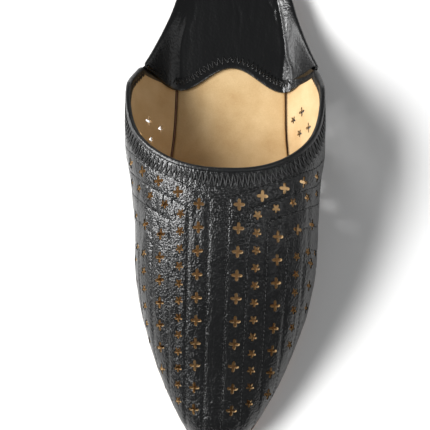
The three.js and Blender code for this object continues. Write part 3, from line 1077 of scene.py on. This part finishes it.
# ------ the folded back
BACK_ROWS = 110
CORNER_CUTS = 3  # how many times the corners of its section are cut
JOINT_BLEND = 3.0  # it is drawn in over this length where it passes inside the vamp
JOINT_GAP = 0.45
LYING_HALF = 34.0  # its front edge lies flat on the insole this far out from the midline
EDGE_ROUND, EDGE_DROP = 2.2, 0.5  # how its front edge is thinned
SEAM_INSET, SEAM_DEPTH, SEAM_WIDTH = 2.6, 0.28, 0.5  # the groove along that edge
BACK_ZIGZAG_START, BACK_ZIGZAG_HEIGHT = 2.8, 4.4
HEEL_ROWS = 14  # the rows at the heel end that are left as they are
BACK_SMOOTHING = 14  # how many times the rest is smoothed


def rounded(points, times):
    """Rounds the corners of many polylines at once, cutting each corner a few times."""
    for _ in range(times):
        early = 0.75 * points[:, :-1] + 0.25 * points[:, 1:]
        late = 0.25 * points[:, :-1] + 0.75 * points[:, 1:]
        pairs = np.stack([early, late], axis=2).reshape(len(points), -1, points.shape[2])
        points = np.concatenate([points[:, :1], pairs, points[:, -1:]], axis=1)
    return points


def fold_section(s):
    """Corners of half the folded back's section, from the root over the fold to the middle."""
    floor = seat(s)
    root = outline(s, ROOT_INSET)
    top = fold_ridge(s)
    out = np.maximum(outline(s, 0) + fold_flare(s), root + 0.4)
    lying = floor + INSOLE_THICKNESS + FIT + FLAP_THICKNESS
    soft = 2.2
    start = fold_flare(0.0)
    reached = np.clip((s + start) / (fold_flat(s) + start), 0, 1)
    centre = lying + (top - lying) * (1 - reached) ** 1.6
    crease = np.maximum(outline(s, fold_flat(s)), 1.2)
    inner = np.maximum(out - soft, crease + 0.6)
    corners = [
        (root, floor),
        (root + (out - root) * 0.3, floor + (top - floor) * 0.22),
        (root + (out - root) * 0.62, floor + (top - floor) * 0.52),
        (out, top - soft),
        (out - soft * 0.2, top - soft * 0.1),
        (inner, top),
    ]
    for q in (0.3, 0.65, 1.0):
        corners.append((inner + (crease - inner) * q, centre + (top - centre) * (1 - q) ** 1.6))
    for q in (0.85, 0.65, 0.4, 0.2, 0.0):
        corners.append((crease * q, centre))
    return np.stack([np.stack(np.broadcast_arrays(*c), axis=-1) for c in corners], axis=-2)


def front_edge(across):
    """The folded back's front edge in plan: a lobe on either side of a dip in the middle."""
    t = np.abs(across)
    wave = NOTCH + (LOBE - NOTCH) * (1 - np.cos(math.pi * np.minimum(t, LOBE_HALF) / LOBE_HALF)) / 2
    turn = np.clip((t - LOBE_HALF) / LOBE_TURN, 0, 1)
    side = JOINT - FIT / 2
    return np.where(t <= LOBE_HALF, wave, LOBE + (side - LOBE) * (1 - np.cos(math.pi * turn)) / 2)


def inner_wall(s, height):
    """How far across the vamp's inside lies at a height, on each side: (inner, outer)."""
    found = []
    for sign in (-1, 1):
        share = sign * np.linspace(1, 1 - WALL_SHARE, 40)
        across, level = section(s[:, None], share[None, :], WALL)
        found.append([np.interp(h, lv, ac) for h, lv, ac in zip(height, level, np.abs(across))])
    return np.array(found)


def back_surface():
    """The folded back's upper side as a grid of points: (across, height, station)."""
    rear = ROOT_INSET + 0.3
    half = rounded(fold_section(np.full(1, JOINT)), CORNER_CUTS)[0]
    past_ridge = np.arange(len(half)) > np.argmax(half[:, 1])
    front = np.full(len(half), JOINT - FIT / 2)
    for _ in range(4):
        sections = [rounded(fold_section(np.array([f])), CORNER_CUTS)[0] for f in front]
        across = np.array([corners[i, 0] for i, corners in enumerate(sections)])
        front = np.where(past_ridge, front_edge(across), JOINT - FIT / 2)
    t = 1 - np.cos(np.linspace(0, math.pi / 2, BACK_ROWS))
    station = rear + (front[None, :] - rear) * t[:, None]
    sections = np.empty((BACK_ROWS, len(half), 2))
    for i in range(len(half)):
        sections[:, i] = rounded(fold_section(station[:, i]), CORNER_CUTS)[:, i]
    across = np.concatenate([-sections[:, :, 0], sections[:, ::-1, 0][:, 1:]], axis=1)
    height = np.concatenate([sections[:, :, 1], sections[:, ::-1, 1][:, 1:]], axis=1)
    station = np.concatenate([station, station[:, ::-1][:, 1:]], axis=1)
    for grid in (height, across):
        for _ in range(BACK_SMOOTHING):
            before, here, after = grid[HEEL_ROWS - 1 : -2], grid[HEEL_ROWS:-1], grid[HEEL_ROWS + 1 :]
            grid[HEEL_ROWS:-1] = (before + 2 * here + after) / 4
            if grid is height:
                grid[:, 1:-1] = (grid[:, :-2] + 4 * grid[:, 1:-1] + grid[:, 2:]) / 6
    ahead = station > JOINT - JOINT_BLEND
    limits = inner_wall(station[ahead], height[ahead]) - JOINT_GAP
    limit = np.where(across[ahead] < 0, limits[0], limits[1])
    blend = np.clip((station[ahead] - JOINT + JOINT_BLEND) / JOINT_BLEND, 0, 1)
    held = np.sign(across[ahead]) * np.minimum(np.abs(across[ahead]), limit)
    across[ahead] = across[ahead] * (1 - blend) + held * blend
    return across, height, station


def build_folded_back(settings):
    """The back of the upper, folded down flat on the insole, with its creased fold."""
    across, height, station = back_surface()
    points = place(station, across, height)
    normal = unit(np.cross(np.gradient(points, axis=0), np.gradient(points, axis=1)))
    lying = np.abs(across) < LYING_HALF
    behind = front_edge(across) - station
    relief = -creased(BACK_CREASES, across, station) + 0.1 * rough(across, station / 4, 6.0, 4.0)
    edge = np.clip(behind / EDGE_ROUND, 0, 1)
    relief = relief - SEAM_DEPTH * np.exp(-(((behind - SEAM_INSET) / SEAM_WIDTH) ** 2)) * lying
    top = points + normal * ((relief - EDGE_DROP * (1 - edge) ** 2 * lying)[..., None] * MM)
    bottom = points - normal * (FLAP_THICKNESS - 0.1) * MM
    faces = grid_triangles(*across.shape)
    shape, skin = thick_sheet(top.reshape(-1, 3), bottom.reshape(-1, 3), faces[:, ::-1])
    made = new_object("folded_back_leather", shape, skin, "back", 55)
    hand_over(made, "back_leather", "upper_folded_back")


def build_back_stitching(settings):
    """The zigzag along the folded back's wavy front edge."""
    pitch = settings.zigzag_pitch / MM / 2
    across = np.linspace(-38, 38, 1500)
    s = front_edge(across)
    run = running(np.hypot(np.diff(across), np.diff(s)))
    wanted = np.arange(0, run[-1], pitch)
    path = resampled(np.stack([across, s], axis=1), run, wanted)
    ahead = unit(np.gradient(path, axis=0))
    back = np.stack([ahead[:, 1], -ahead[:, 0]], axis=1)
    grid_across, grid_height, grid_station = back_surface()
    flat = np.abs(grid_across) < 44
    known = np.stack([grid_across[flat], grid_station[flat]], axis=1)
    heights = grid_height[flat]
    first, second = zigzag(path, back, BACK_ZIGZAG_START, BACK_ZIGZAG_HEIGHT)

    def lay(places):
        gaps = np.hypot(*(places[:, None, :] - known[None]).transpose(2, 0, 1))
        closest = np.argsort(gaps, axis=1)[:, :4]
        weight = 1 / (np.take_along_axis(gaps, closest, axis=1) + 0.05)
        level = (heights[closest] * weight).sum(axis=1) / weight.sum(axis=1)
        return place(places[:, 1], places[:, 0], level + 0.18)

    a, b = lay(first), lay(second)
    up = np.tile([0.0, 0.0, 1.0], (len(a), 1))
    lengths = np.linalg.norm(b - a, axis=1) / MM + 0.2
    made = beads("back_zigzag", (a + b) / 2, b - a, up, lengths, (0.8, 0.6), "black")
    hand_over(made, "black_thread")


# ------ the stage
CAMERA_AIM = Vector((-4.4, -14.8, 25.0)) * MM
CAMERA_AZIMUTH = math.radians(13.2)
CAMERA_ELEVATION = math.radians(79.3)
CAMERA_ROLL = math.radians(11.4)
CAMERA_DISTANCE = 0.4533
LENS = 71.2


def build_stage(settings):
    """A plain pale floor, the camera and soft studio lights."""
    bpy.ops.mesh.primitive_plane_add(size=6)
    floor = bpy.context.object
    floor.name = "floor"
    floor.data.materials.append(painted_floor("matt_floor_paint", settings.floor_colour_hex))

    a, e = CAMERA_AZIMUTH, CAMERA_ELEVATION
    back = Vector((math.sin(a) * math.cos(e), -math.cos(a) * math.cos(e), math.sin(e)))
    right = Vector((math.cos(a), math.sin(a), 0))
    up = back.cross(right)
    c, s = math.cos(CAMERA_ROLL), math.sin(CAMERA_ROLL)
    camera = bpy.data.objects.new("camera", bpy.data.cameras.new("camera"))
    bpy.context.scene.collection.objects.link(camera)
    camera.data.lens = LENS
    camera.data.clip_start = 0.01
    turned = Matrix((right * c - up * s, right * s + up * c, back)).transposed()
    camera.matrix_world = Matrix.Translation(CAMERA_AIM + back * CAMERA_DISTANCE) @ turned.to_4x4()
    bpy.context.scene.camera = camera

    for name, place_at, aim, long, tall, power in (
        ("key", (-0.86, -0.02, 0.84), (0, 0, 0.03), 1.0, 0.36, 27.0),
        ("glint", (0.46, -0.3, 1.0), (0, 0, 0.05), 0.16, 0.16, 1.1),
        ("fill", (1.0, 0.1, 0.35), (0, 0, 0.02), 0.7, 0.5, 0.8),
        ("low", (-0.95, 0.55, 0.17), (0, 0.08, 0.02), 0.5, 0.26, 3.0),
    ):
        light = bpy.data.objects.new(name, bpy.data.lights.new(name, "AREA"))
        bpy.context.scene.collection.objects.link(light)
        light.data.shape = "RECTANGLE"
        light.data.size = long
        light.data.size_y = tall
        light.data.energy = power
        light.location = place_at
        light.rotation_mode = "QUATERNION"
        light.rotation_quaternion = (Vector(aim) - Vector(place_at)).to_track_quat("-Z", "Y")
    world = bpy.data.worlds.new("studio")
    bpy.context.scene.world = world
    world.use_nodes = True
    background = world.node_tree.nodes["Background"]
    background.inputs["Color"].default_value = colour("#f4f6f8")
    background.inputs["Strength"].default_value = 0.2
    bpy.context.scene.view_settings.view_transform = "Standard"


# ------ the add-on's own classes
def length_setting(name, description, default, **limits):
    """A length that is set in millimetres."""
    return bpy.props.FloatProperty(
        name=name,
        description=description,
        default=default * MM,
        subtype="DISTANCE",
        unit="LENGTH",
        **limits,
    )


class SlipperSettings(bpy.types.PropertyGroup):
    """The sizes that a maker would change."""

    vamp_spacing: length_setting(
        "Vamp mesh spacing",
        "Distance between the points of the vamp's fine surface",
        1.15,
        min=0.7 * MM,
        max=4 * MM,
    )
    zigzag_pitch: length_setting(
        "Zigzag pitch", "Length of one whole zig and zag of the collar's stitching", ZIGZAG_PITCH
    )
    stitch_length: length_setting(
        "Stitch length", "Length of one stitch of the pattern's sewn lines", 2.1
    )
    welt_pitch: length_setting(
        "Welt stitch pitch", "Distance from one thick stitch of the margin to the next", 4.7
    )
    floor_colour_hex: bpy.props.StringProperty(
        name="Floor colour",
        description="The pale floor's colour as sRGB hex",
        default="#f2f1ef",
    )


STEPS = (
    ("outsole", "Outsole", build_outsole),
    ("heel_lift", "Heel lift", build_heel_lift),
    ("insole", "Insole", build_insole),
    ("margin", "Stitched margin", build_margin),
    ("welt_stitching", "Welt stitching", build_welt_stitching),
    ("vamp", "Vamp and lining", build_vamp),
    ("channel_stitching", "Channel stitching", build_channel_stitching),
    ("binding", "Collar binding", build_binding),
    ("collar_stitching", "Collar stitching", build_collar_stitching),
    ("folded_back", "Folded back", build_folded_back),
    ("back_stitching", "Folded back's stitching", build_back_stitching),
    ("stage", "Stage", build_stage),
)


def operator_for(key, label, build):
    """One operator class for one piece or group of like pieces."""

    def execute(self, context):
        build(context.scene.slipper)
        return {"FINISHED"}

    return type(
        f"SLIPPER_OT_{key}",
        (bpy.types.Operator,),
        {
            "__doc__": build.__doc__,
            "bl_idname": f"slipper.{key}",
            "bl_label": label,
            "execute": execute,
        },
    )


OPERATORS = [operator_for(*step) for step in STEPS]


class SLIPPER_PT_sidebar(bpy.types.Panel):
    """Lists the slipper's sizes and its pieces."""

    bl_label = "Slipper"
    bl_space_type = "VIEW_3D"
    bl_region_type = "UI"
    bl_category = "Slipper"

    def draw(self, context):
        for name in SlipperSettings.__annotations__:
            self.layout.prop(context.scene.slipper, name)
        for made in OPERATORS:
            self.layout.operator(made.bl_idname)


CLASSES = (SlipperSettings, *OPERATORS, SLIPPER_PT_sidebar)


def register():
    for made in CLASSES:
        bpy.utils.register_class(made)
    bpy.types.Scene.slipper = bpy.props.PointerProperty(type=SlipperSettings)


def unregister():
    del bpy.types.Scene.slipper
    for made in reversed(CLASSES):
        bpy.utils.unregister_class(made)


def main():
    register()
    for key, _label, _build in STEPS:
        getattr(bpy.ops.slipper, key)()


if __name__ == "__main__":
    main()
